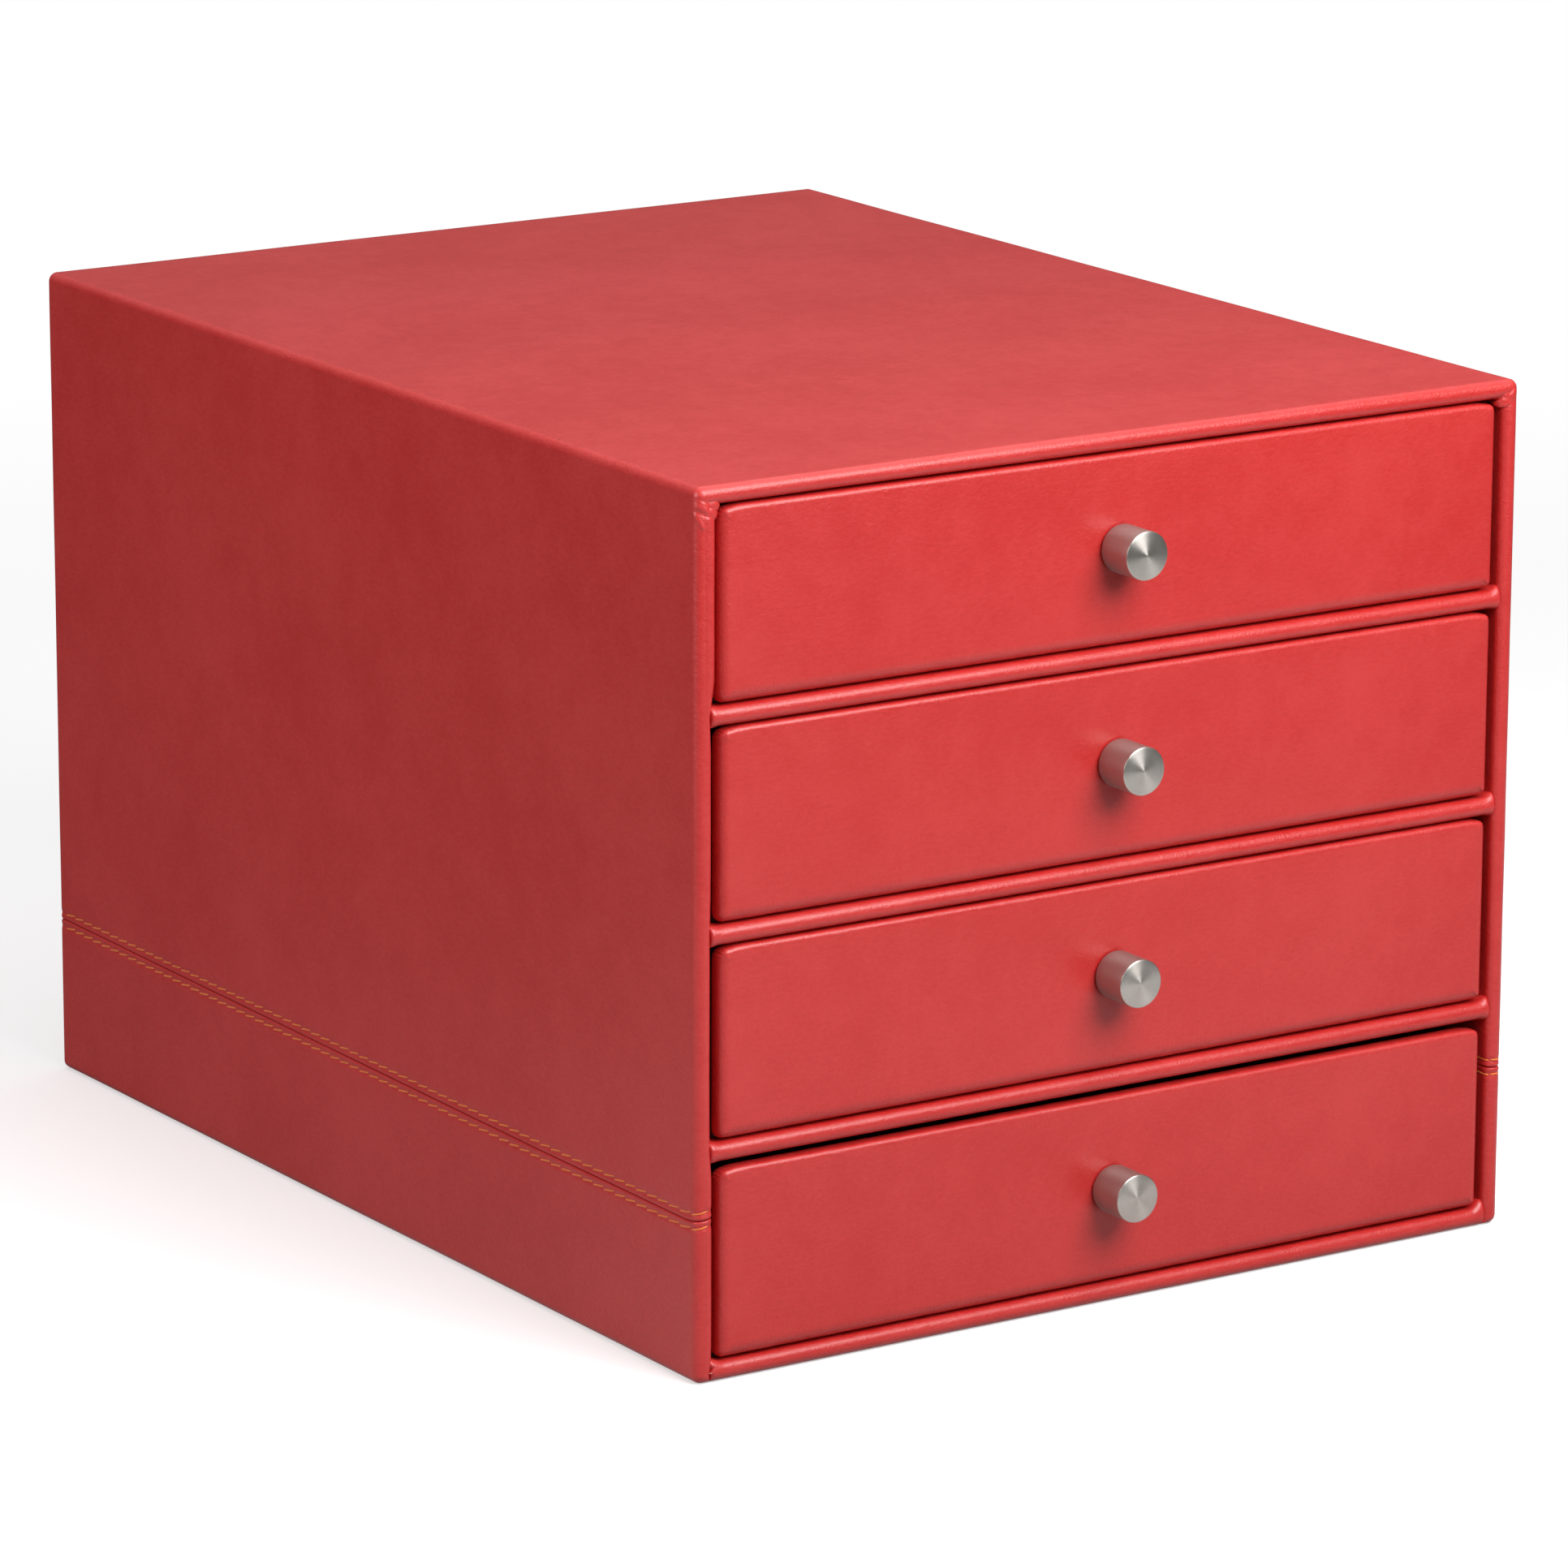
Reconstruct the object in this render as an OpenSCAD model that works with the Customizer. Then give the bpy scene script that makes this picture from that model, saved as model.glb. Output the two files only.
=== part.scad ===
// Desktop mini drawers: a greyboard chest covered in leatherette, with four
// drawers that slide out to the front on wrapped shelves.
//
// Frame: +Z up, the drawers open towards -Y, X runs across the front.
// Origin: the middle of the face that the chest rests on.
//
// The walls, the top and the base are one section, swept round the front view.
// In that section r runs outwards from the middle of the panel and d runs back
// from the front edge. At a corner the outer half turns round, and the two
// inner halves meet in a mitre.

/* [Chest] */
// Width over the covers
chest_w = 200; // [150:1:260]
// Depth from the rounded front edges to the back panel
chest_d = 265; // [200:1:330]
// Clear height of the upper compartments
opening_h = 40.1; // [30:0.1:60]
// Extra clear height of the bottom compartment
bottom_extra_h = 1.1; // [0:0.1:4]
// Number of drawers
drawer_count = 4; // [2:1:4]
// Thickness of the greyboard panels
board_t = 2.5; // [2:0.1:4]

/* [Covers] */
// Thickness of the leatherette
skin_t = 0.7; // [0.4:0.05:1]
// How far the cover turns in behind a front edge
turn_in = 20; // [8:1:40]
// How far the cover turns over the back
back_turn_in = 12; // [8:1:25]
// Bare margin round the back panel
back_margin = 4; // [1:0.5:7]
// Height of the seam round the sides
seam_z = 33.8; // [20:0.1:60]
// Width of the groove between the two halves of the cover
seam_gap = 0.6; // [0.3:0.1:1.2]
// Width of the tape behind the seam
tape_w = 8; // [4:0.5:14]
// Thickness of the tape behind the seam
tape_t = 0.3; // [0.15:0.05:0.35]

/* [Drawers] */
// Clearance at each side of a drawer front
side_gap = 1.7; // [0.4:0.1:3]
// Running clearance under a drawer
run_gap = 0.3; // [0.2:0.05:0.8]
// Clearance over a drawer front
top_gap = 0.8; // [0.4:0.1:2]
// Clearance behind a closed drawer
rear_gap = 1.5; // [0.5:0.1:5]
// Thickness of the board inside a drawer front
front_board_t = 2.5; // [2:0.1:4]
// Radius of the pillowed edge round a drawer front
front_edge_r = 2.5; // [1:0.1:3]
// Extra corner radius of a drawer front beyond its edge radius
front_corner_extra = 0.3; // [0.2:0.1:2]
// How far the cover turns over the back of a drawer front
front_turn_in = 10; // [4:0.5:14]
// How far the box stands in from the sides of its front
box_inset = 0.5; // [0:0.1:2]
// How far the box stops short of the top of its front
box_drop = 2.5; // [1:0.1:8]
// Thickness of the box's walls
wall_t = 2; // [1.5:0.1:3]
// Thickness of the box's floor
floor_t = 2; // [1.5:0.1:3]
// Thickness of the flocked lining in a drawer
lining_t = 0.5; // [0.3:0.05:1]

/* [Knobs] */
// Diameter of a knob
knob_d = 10; // [8:0.5:14]
// Length of a knob
knob_l = 9; // [7:0.5:14]
// Chamfer round a knob's face
knob_chamfer = 0.4; // [0.2:0.1:1]
// Height of the knob above the middle of its front
knob_rise = 0.7; // [-3:0.1:3]
// Thread diameter of the knob's screw
screw_d = 4; // [3:0.5:4]
// Length of thread inside a knob
thread_l = 5; // [4:0.5:6]
// Diameter of the screw's head
head_d = 8; // [7:0.5:10]
// Height of the screw's head
head_h = 2.2; // [1.6:0.1:3]
// Radial clearance round the screw
screw_clearance = 0.1; // [0.05:0.01:0.2]
// Radial clearance of the screw in the knob's thread
thread_clearance = 0.02; // [0.02:0.01:0.05]

/* [Hidden] */
$fn = 64;
eps = 0.01;

panel_t = board_t + 2 * skin_t;
nose_r = panel_t / 2;
half_w = chest_w / 2;
inner_w = chest_w - 2 * panel_t;
front_y = -chest_d / 2;
bottom_opening_h = opening_h + bottom_extra_h;

// Depths behind the front edge
board_end = chest_d - 2 * skin_t;
cover_end = chest_d - skin_t;
inside_end = board_end - board_t;

// Floor of the compartment of drawer n, counted from the top
function opening_z(n) =
    panel_t + (n == drawer_count ? 0 : bottom_extra_h + (drawer_count - n) * (opening_h + panel_t));
chest_h = opening_z(1) + opening_h + panel_t;

// Drawer front and box
front_w = inner_w - 2 * side_gap;
front_h = opening_h - run_gap - top_gap;
front_t = front_board_t + 2 * skin_t;
box_w = front_w - 2 * box_inset;
box_h = front_h - box_drop;
box_end = inside_end - rear_gap;
knob_z = front_h / 2 + knob_rise;
tap_depth = thread_l + 1;
drill_r = screw_d / 2 + screw_clearance;

RED = [0.84, 0.27, 0.27];
SEAM_RED = [0.5, 0.06, 0.08];
GREY = [0.55, 0.53, 0.5];
CHARCOAL = [0.13, 0.12, 0.12];
STEEL = [0.72, 0.71, 0.69];

CHEST_NODES = [
    "left_side_board", "right_side_board", "top_board", "base_board", "back_board",
    "upper_cover", "left_lower_cover", "right_lower_cover", "base_wrap", "back_cover",
    "left_seam_tape", "right_seam_tape", "left_lining", "right_lining", "top_lining"
];
SHELF_PIECES = ["shelf_board", "shelf_wrap"];
DRAWER_PIECES = [
    "front_board", "front_cover", "left_wall", "right_wall", "back_wall",
    "floor_board", "drawer_lining", "knob", "knob_screw"
];

// ---- The wrapped panel's section, in r and d ----

// A bar of thickness t in the middle of the panel, with a half-round front edge
module bar_section(t, end) {
    translate([0, nose_r]) circle(r = t / 2);
    translate([-t / 2, nose_r]) square([t, end - nose_r]);
}

module board_section() {
    bar_section(board_t, board_end);
}

// The cover's outer shape, with its rear edge rounded over the board
module wrapped_section() {
    bar_section(panel_t, board_end);
    translate([-nose_r, board_end - eps]) square([panel_t - skin_t, skin_t + eps]);
    intersection() {
        translate([nose_r - skin_t, board_end]) circle(r = skin_t);
        translate([nose_r - skin_t, board_end]) square(skin_t);
    }
}

module tape_section() {
    difference() {
        bar_section(board_t + 2 * tape_t, board_end + tape_t);
        board_section();
        translate([-nose_r, turn_in]) square([skin_t, board_end + tape_t - turn_in]);
    }
}

// The half of a section that turns round a corner
module outer_half() {
    intersection() {
        children();
        square([panel_t, chest_d]);
    }
}

// ---- Sweeps of a section round the front view, for the right half ----

// Up the right side, from z = low to z = high
module right_leg(low, high) {
    translate([half_w - nose_r, front_y, low]) linear_extrude(high - low) children();
}

// Along the top or, upside down, along the base, over a width w
module top_run(w) {
    translate([-w / 2, front_y, chest_h - nose_r])
        rotate([90, 0, 90]) mirror([1, -1, 0]) linear_extrude(w) children();
}

module base_run(w) {
    translate([0, 0, chest_h]) mirror([0, 0, 1]) top_run(w) children();
}

// Round a right-hand corner, at the top or at the base
module top_corner() {
    translate([half_w - nose_r, front_y, chest_h - nose_r])
        rotate([-90, 0, 0]) rotate([0, 0, -90]) rotate_extrude(angle = 90) outer_half() children();
}

module base_corner() {
    translate([0, 0, chest_h]) mirror([0, 0, 1]) top_corner() children();
}

module on_left() {
    mirror([1, 0, 0]) children();
}

// Over the top, from z = low on one side to z = low on the other
module arch(low) {
    top_run(chest_w - panel_t) children();
    for (side = [0, 1]) mirror([side, 0, 0]) {
        top_corner() children();
        right_leg(low, chest_h - nose_r) children();
    }
}

// The foot of the right side, rounded at the inner, outer and lower edges
module right_foot() {
    base_corner() children();
    intersection() {
        right_leg(0, nose_r) children();
        base_run(chest_w - panel_t) children();
    }
}

// A block from depth d of thickness t, in the middle of the width
module block(w, low, high, d, t) {
    translate([-w / 2, front_y + d, low]) cube([w, t, high - low]);
}

// The space between the boards
module between_boards(d, t) {
    block(inner_w + 2 * skin_t, panel_t - skin_t, chest_h - panel_t + skin_t, d, t);
}

// The window that the turned-over cover leaves at the back
module back_window(d, t) {
    block(chest_w - 2 * back_turn_in, back_turn_in, chest_h - back_turn_in, d, t);
}

// ---- Chest: boards ----

// The side boards stand under the top board, with the base board between them
module right_side_board() {
    color(GREY) {
        right_leg(nose_r, chest_h - panel_t + skin_t) board_section();
        right_foot() board_section();
    }
}

module left_side_board() {
    on_left() right_side_board();
}

module top_board() {
    color(GREY) arch(chest_h - panel_t + skin_t) board_section();
}

module base_board() {
    color(GREY) base_run(inner_w) board_section();
}

module back_board() {
    color(GREY) between_boards(inside_end, board_t);
}

// ---- Chest: leatherette ----

// The margin turned over the back, between two heights
module back_flange(low, high) {
    r = nose_r - skin_t;
    w = chest_w - 2 * skin_t;
    h = chest_h - 2 * skin_t;
    difference() {
        intersection() {
            translate([-w / 2, front_y + cover_end, skin_t]) rotate([90, 0, 0]) linear_extrude(skin_t) {
                translate([0, r]) square([w, h - 2 * r]);
                translate([r, 0]) square([w - 2 * r, h]);
                for (x = [r, w - r], z = [r, h - r]) translate([x, z]) circle(r = r);
            }
            block(chest_w, low, high, board_end, skin_t);
        }
        back_window(board_end - skin_t, 3 * skin_t);
    }
}

module upper_cover() {
    low = seam_z + seam_gap / 2;
    color(RED) difference() {
        union() {
            arch(low) wrapped_section();
            back_flange(low, chest_h);
        }
        top_board();
        right_side_board();
        left_side_board();
        between_boards(turn_in, board_end - turn_in);
        right_seam_tape();
        left_seam_tape();
    }
}

module right_lower_cover() {
    high = seam_z - seam_gap / 2;
    color(RED) difference() {
        union() {
            right_leg(nose_r, high) wrapped_section();
            right_foot() wrapped_section();
            intersection() {
                back_flange(0, high);
                translate([half_w - back_turn_in, front_y, 0]) cube([back_turn_in, chest_d, chest_h]);
            }
        }
        right_side_board();
        between_boards(turn_in, board_end - turn_in);
        right_seam_tape();
        // The base panel passes between the two lower covers
        block(inner_w, -eps, panel_t, board_end - skin_t, 3 * skin_t);
    }
}

module left_lower_cover() {
    on_left() right_lower_cover();
}

module base_wrap() {
    color(RED) {
        base_run(inner_w) difference() {
            wrapped_section();
            board_section();
            translate([-nose_r - eps, inside_end]) square([skin_t + eps, board_t]);
        }
        block(chest_w - 2 * back_turn_in, panel_t - skin_t, back_turn_in, board_end, skin_t);
    }
}

// The back panel lies over the turned-over margins and fills their window
module back_cover() {
    color(RED) {
        block(chest_w - 2 * back_margin, back_margin, chest_h - back_margin, cover_end, skin_t);
        back_window(board_end, skin_t + eps);
    }
}

module right_seam_tape() {
    color(SEAM_RED) {
        right_leg(seam_z - tape_w / 2, seam_z + tape_w / 2) tape_section();
        translate([half_w - back_turn_in, front_y + board_end, seam_z - tape_w / 2])
            cube([back_turn_in - skin_t, tape_t, tape_w]);
    }
}

module left_seam_tape() {
    on_left() right_seam_tape();
}

// ---- Chest: linings behind the turned-in edges ----

module right_lining() {
    color(CHARCOAL) right_leg(panel_t - skin_t, chest_h - panel_t)
        translate([-nose_r, turn_in]) square([skin_t, inside_end - turn_in]);
}

module left_lining() {
    on_left() right_lining();
}

module top_lining() {
    color(CHARCOAL)
        block(inner_w + 2 * skin_t, chest_h - panel_t, chest_h - panel_t + skin_t, turn_in, inside_end - turn_in);
}

// ---- Shelves ----

// A bar across the compartments, with a half-round front edge
module shelf_bar(t) {
    translate([-inner_w / 2, front_y + nose_r, nose_r]) rotate([0, 90, 0]) cylinder(r = t / 2, h = inner_w);
    translate([-inner_w / 2, front_y + nose_r, nose_r - t / 2]) cube([inner_w, inside_end - nose_r, t]);
}

module shelf_board() {
    color(GREY) shelf_bar(board_t);
}

module shelf_wrap() {
    color(RED) difference() {
        shelf_bar(panel_t);
        shelf_bar(board_t);
    }
}

// ---- Drawers, with the underside of the box at z = 0 ----

// A plate with a pillowed front edge and round corners, its front at y = 0
module pillow_plate(w, h, t, corner_r, edge_r) {
    module edge_section() {
        square([corner_r - edge_r, t]);
        translate([0, edge_r]) square([corner_r, t - edge_r]);
        intersection() {
            translate([corner_r - edge_r, edge_r]) circle(r = edge_r);
            square([corner_r, edge_r + eps]);
        }
    }
    module corner() {
        rotate([-90, 0, 0]) rotate([0, 0, -90]) rotate_extrude(angle = 90) edge_section();
    }
    span = w - 2 * corner_r;
    rise = h - 2 * corner_r;
    translate([0, 0, h / 2]) {
        translate([-span / 2, 0, -rise / 2]) cube([span, t, rise]);
        for (side = [0, 1], end = [0, 1]) mirror([side, 0, 0]) mirror([0, 0, end])
            translate([span / 2, 0, rise / 2]) corner();
        for (side = [0, 1]) mirror([side, 0, 0])
            translate([span / 2, 0, -rise / 2]) linear_extrude(rise) edge_section();
        for (end = [0, 1]) mirror([0, 0, end]) translate([-span / 2, 0, rise / 2])
            rotate([90, 0, 90]) mirror([1, -1, 0]) linear_extrude(span) edge_section();
    }
}

// A hole along Y for the knob's screw
module screw_hole(r, from_y, to_y) {
    translate([0, from_y, knob_z]) rotate([-90, 0, 0]) cylinder(r = r, h = to_y - from_y);
}

module front_plate() {
    pillow_plate(front_w, front_h, front_t, front_edge_r + front_corner_extra, front_edge_r);
}

module front_core() {
    edge_r = front_edge_r - skin_t;
    translate([0, skin_t, skin_t])
        pillow_plate(front_w - 2 * skin_t, front_h - 2 * skin_t, front_board_t,
            edge_r + front_corner_extra, edge_r);
}

// The bare part of the board's back, between the turned-in edges
module front_window(y, t) {
    translate([-front_w / 2 + front_turn_in, y, front_turn_in])
        cube([front_w - 2 * front_turn_in, t, front_h - 2 * front_turn_in]);
}

module front_board() {
    color(GREY) difference() {
        front_core();
        screw_hole(drill_r, -eps, front_t);
    }
}

module front_cover() {
    color(RED) difference() {
        front_plate();
        front_core();
        front_window(front_t - 2 * skin_t, 3 * skin_t);
        screw_hole(drill_r, -eps, front_t);
    }
}

module right_wall() {
    color(CHARCOAL) translate([box_w / 2 - wall_t, front_t, floor_t])
        cube([wall_t, box_end - front_t, box_h - floor_t]);
}

module left_wall() {
    on_left() right_wall();
}

module back_wall() {
    color(CHARCOAL) translate([-box_w / 2 + wall_t, box_end - wall_t, floor_t])
        cube([box_w - 2 * wall_t, wall_t, box_h - floor_t]);
}

module floor_board() {
    color(CHARCOAL) translate([-box_w / 2, front_t, 0]) cube([box_w, box_end - front_t, floor_t]);
}

// A flocked tray glued into the box
module drawer_lining() {
    inner_w = box_w - 2 * wall_t;
    inner_d = box_end - wall_t - front_t;
    color(CHARCOAL) difference() {
        union() {
            translate([-inner_w / 2, front_t, floor_t]) cube([inner_w, inner_d, box_h - floor_t]);
            front_window(front_t - skin_t, skin_t + eps);
        }
        translate([-inner_w / 2 + lining_t, front_t + lining_t, floor_t + lining_t])
            cube([inner_w - 2 * lining_t, inner_d - 2 * lining_t, box_h]);
        screw_hole(drill_r, 0, front_t + 2 * lining_t);
    }
}

// A turned steel knob, tapped from behind
module knob() {
    r = knob_d / 2;
    color(STEEL) translate([0, 0, knob_z]) rotate([90, 0, 0]) difference() {
        rotate_extrude() polygon([
            [0, 0], [r, 0], [r, knob_l - knob_chamfer], [r - knob_chamfer, knob_l], [0, knob_l]
        ]);
        translate([0, 0, -eps]) cylinder(r = screw_d / 2 + thread_clearance, h = tap_depth + eps);
    }
}

// A pan-head screw, put in from inside the drawer
module knob_screw() {
    seat_y = front_t + lining_t;
    slot_w = 1;
    slot_depth = head_h / 2;
    head_edge_r = head_h / 3;
    color(STEEL) translate([0, seat_y, knob_z]) {
        rotate([90, 0, 0]) cylinder(r = screw_d / 2, h = seat_y + thread_l);
        rotate([-90, 0, 0]) difference() {
            rotate_extrude() {
                square([head_d / 2 - head_edge_r, head_h]);
                square([head_d / 2, head_h - head_edge_r]);
                translate([head_d / 2 - head_edge_r, head_h - head_edge_r]) intersection() {
                    circle(r = head_edge_r);
                    square(head_edge_r);
                }
            }
            for (turn = [0, 90]) rotate([0, 0, turn])
                translate([-head_d / 4, -slot_w / 2, head_h - slot_depth])
                    cube([head_d / 2, slot_w, slot_depth + eps]);
        }
    }
}

// ---- Assembly ----

// Puts a shelf under compartment n
module at_shelf(n) {
    translate([0, 0, opening_z(n) - panel_t]) children();
}

// Puts a drawer into compartment n, closed
module at_drawer(n) {
    translate([0, front_y, opening_z(n) + run_gap]) children();
}

left_side_board();
right_side_board();
top_board();
base_board();
back_board();
upper_cover();
left_lower_cover();
right_lower_cover();
base_wrap();
back_cover();
left_seam_tape();
right_seam_tape();
left_lining();
right_lining();
top_lining();
for (n = [1 : drawer_count - 1]) at_shelf(n) {
    shelf_board();
    shelf_wrap();
}
for (n = [1 : drawer_count]) at_drawer(n) {
    front_board();
    front_cover();
    left_wall();
    right_wall();
    back_wall();
    floor_board();
    drawer_lining();
    knob();
    knob_screw();
}
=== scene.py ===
import math

import bmesh
import bpy
import numpy as np
from mathutils import Matrix, Vector


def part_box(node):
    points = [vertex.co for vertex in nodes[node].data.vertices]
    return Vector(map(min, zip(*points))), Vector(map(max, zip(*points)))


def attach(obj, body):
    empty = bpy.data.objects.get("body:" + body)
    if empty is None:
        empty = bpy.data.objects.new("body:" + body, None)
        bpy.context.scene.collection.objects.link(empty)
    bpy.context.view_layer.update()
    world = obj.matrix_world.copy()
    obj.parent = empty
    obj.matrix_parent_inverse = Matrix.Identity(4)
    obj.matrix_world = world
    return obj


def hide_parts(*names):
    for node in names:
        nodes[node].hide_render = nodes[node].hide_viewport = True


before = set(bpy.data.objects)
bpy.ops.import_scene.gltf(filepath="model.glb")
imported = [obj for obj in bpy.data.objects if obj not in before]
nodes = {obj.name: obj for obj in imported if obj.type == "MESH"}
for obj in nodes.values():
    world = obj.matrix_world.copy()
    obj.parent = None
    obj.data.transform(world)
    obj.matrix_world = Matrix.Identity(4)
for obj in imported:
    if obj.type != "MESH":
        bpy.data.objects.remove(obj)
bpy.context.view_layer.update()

# ---- Camera ----
# The chest is seen from its front left and a little from above, through a long lens 1.7 m away, so
# that its far edges draw together only slightly.

CAMERA_AT = (-0.89819, -1.38622, 0.50241)
CAMERA_TURNS = (75.6693, -0.1922, -33.0827)

camera = bpy.data.objects.new("camera", bpy.data.cameras.new("camera"))
camera.data.sensor_width = 36
camera.data.lens = 182.204
camera.data.clip_end = 30
camera.location = CAMERA_AT
camera.rotation_euler = [math.radians(turn) for turn in CAMERA_TURNS]
bpy.context.scene.collection.objects.link(camera)
bpy.context.scene.camera = camera

# ---- Case boards ----
# Two sides, top, base, back and three shelves of 2.5 mm greyboard: pressed waste paper with flecks
# of fibre in it. They are glued edge to edge, and the covers hide nearly all of them.


class Wire:
    """An output of a node. Arithmetic on it adds Math nodes."""

    def __init__(self, maker, socket):
        self.maker = maker
        self.socket = socket

    def _math(self, operation, first, second):
        return self.maker.node("ShaderNodeMath", {"operation": operation}, {0: first, 1: second})

    def __add__(self, other):
        return self._math("ADD", self, other)

    def __sub__(self, other):
        return self._math("SUBTRACT", self, other)

    def __rsub__(self, other):
        return self._math("SUBTRACT", other, self)

    def __mul__(self, other):
        return self._math("MULTIPLY", self, other)

    __radd__ = __add__
    __rmul__ = __mul__


class Nodes:
    """The node tree of a material or of the world."""

    def __init__(self, owner):
        owner.use_nodes = True
        self.tree = owner.node_tree

    def plug(self, node, inputs):
        """Links or sets some of a node's inputs."""
        for name, value in inputs.items():
            if isinstance(value, Wire):
                self.tree.links.new(value.socket, node.inputs[name])
            else:
                node.inputs[name].default_value = value

    def node(self, kind, settings, inputs, output=0):
        """One output of a new node."""
        made = self.tree.nodes.new(kind)
        for name, value in settings.items():
            setattr(made, name, value)
        self.plug(made, inputs)
        return Wire(self, made.outputs[output])

    def place(self):
        """Where a point is on the piece, in metres."""
        return self.node("ShaderNodeTexCoord", {}, {}, "Object")

    def part(self, vector, axis):
        """A vector's part along x, y or z, counted from 0."""
        return self.node("ShaderNodeSeparateXYZ", {}, {0: vector}, axis)

    def noise(self, size_mm, detail=2.0, stretch=(1, 1, 1), rough=0.5):
        """Soft noise of about that size, from 0 to 1."""
        spot = self.place()
        if stretch != (1, 1, 1):
            spot = self.node("ShaderNodeVectorMath", {"operation": "MULTIPLY"}, {0: spot, 1: stretch})
        inputs = {"Vector": spot, "Scale": 1000 / size_mm, "Detail": detail, "Roughness": rough}
        return self.node("ShaderNodeTexNoise", {}, inputs)

    def ramp(self, value, low, high):
        """0 on low's side, 1 on high's side, smooth between."""
        limits = {"Value": value, "From Min": low, "From Max": high}
        return self.node("ShaderNodeMapRange", {"interpolation_type": "SMOOTHSTEP"}, limits)

    def tint(self, share, first, second):
        """The first colour where share is 0, the second where it is 1."""
        return self.node("ShaderNodeMix", {"data_type": "RGBA"}, {0: share, 6: first, 7: second}, 2)

    def relief(self, height, depth_mm, strength=1.0):
        """The normal of a surface whose height from 0 to 1 stands for that depth."""
        inputs = {"Height": height, "Distance": depth_mm / 1000, "Strength": strength}
        return self.node("ShaderNodeBump", {}, inputs)


class Finish(Nodes):
    """A material. What is the same all over is set on its Principled shader by name."""

    def __init__(self, name, constants):
        self.material = bpy.data.materials.new(name)
        super().__init__(self.material)
        self.dress(constants)

    def dress(self, inputs):
        """Links or sets inputs of the shader."""
        self.plug(self.tree.nodes["Principled BSDF"], inputs)

    def coat(self, *names):
        """Puts this finish on CAD nodes."""
        for name in names:
            nodes[name].data.materials.clear()
            nodes[name].data.materials.append(self.material)


SHELVES = (1, 2, 3)

greyboard = Finish("greyboard", {"Roughness": 0.9, "Specular IOR Level": 0.2})
fleck = greyboard.ramp(greyboard.noise(0.9, 3, (1, 1, 3)), 0.62, 0.7)
cloud = greyboard.noise(9, 3)
greyboard.dress({
    "Base Color": greyboard.tint(
        fleck,
        greyboard.tint(cloud, (0.27, 0.25, 0.22, 1), (0.34, 0.32, 0.285, 1)),
        (0.16, 0.15, 0.14, 1),
    ),
    "Normal": greyboard.relief(greyboard.noise(0.35, 3), 0.05),
})
greyboard.coat("left_side_board", "right_side_board", "top_board", "base_board", "back_board")
greyboard.coat(*[f"shelf_board_{n}" for n in SHELVES])

# ---- Case cover ----
# Red leatherette, 0.7 mm thick, glued round the boards and turned in 20 mm in front and 12 mm at the
# back: one sheet over the top and down both sides to the seam, and a band below it round each bottom
# corner. The spare leather at the top corners lies in pleats.

CHEST_W = 200.0
CHEST_H = 181.0
FRONT_Y = -132.5
SKIN = 0.7
PANEL = 3.9
NOSE = PANEL / 2
BOARD_END = 263.6
INSIDE_END = 261.1
TURN_IN = 20.0
TURN_OVER = 12.0
SIDE_X = CHEST_W / 2 - NOSE
INSIDE_X = CHEST_W / 2 - PANEL
LOW_Z = NOSE
HIGH_Z = CHEST_H - NOSE
FAR = 1e3
BOX_LOW = (-CHEST_W / 2, -FAR, 0)
BOX_HIGH = (CHEST_W / 2, -FRONT_Y, CHEST_H)

# Leather further out than this belongs to the sides
LEG_X = 95

# The seam, its two rows of stitches and the dents that these pull into the leather
SEAM_Z = 33.8
SEAM_GAP = 0.6
STITCH_PITCH = 4.05
STITCH_HOLE = -0.4
ROW_INSET = 1.27
DENT_DEPTH = 0.12
DENT_WIDTH = 0.5

# The seam's rise above its nominal height on the left, by distance from the front, and what is added
# to it round the front edge there, between two places across the chest; its rise on the right; and
# how far above and below the seam the leather moves with it
SEAM_CLIMB = ((0, 0.08), (4, -0.35), (60, -0.38), (264, 1.0))
NOSE_CLIMB = 0.25
NOSE_SPAN = (-99, -96.3)
RIGHT_CLIMB = 0.65
CLIMB_REACH = 20

# How the sheets' edges roll down at the seam, and are worked towards each other over the tape
ROLL_DEPTH = 0.26
ROLL_WIDTH = 0.42
SEAM_PULL = 0.16
PULL_REACH = 2.5

# Gentle swells of the glued leather: on the flat and on the front edges
FLAT_SWELL = 0.05
NOSE_SWELL = 0.03

# Between the shelves, from the top down: how far the turned-in leather stands off the left side, up to
# some depth behind the front edge
LEFT_SWELL = ((136.9, 177.1, 0.95), (92.9, 133.0, 0.22), (48.9, 89.0, 0.0), (3.9, 45.0, 0.42))
LOOSE_TO = (4, 16)

# Folds of the leather round the top corners, seen from the front: path, width and height
FOLDS = (
    (((-100.2, 176.6), (-99.8, 175.2), (-98.6, 173.2)), 0.45, 0.24),
    (((-100.2, 176.5), (-99.4, 176.1), (-97.6, 175.3), (-95.6, 174.3)), 0.40, -0.22),
    (((-99.9, 177.4), (-98.7, 177.0), (-96.8, 176.1)), 0.60, 0.16),
    (((-98.7, 178.5), (-97.2, 177.8), (-95.6, 176.8)), 0.30, -0.16),
    (((98.8, 178.3), (96.6, 177.0), (95.0, 175.9)), 0.75, 0.11),
    (((98.4, 179.3), (97.2, 178.7), (95.8, 177.6)), 0.45, -0.14),
    (((98.6, 176.6), (96.8, 175.9), (95.2, 175.0)), 0.50, -0.12),
)

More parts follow.
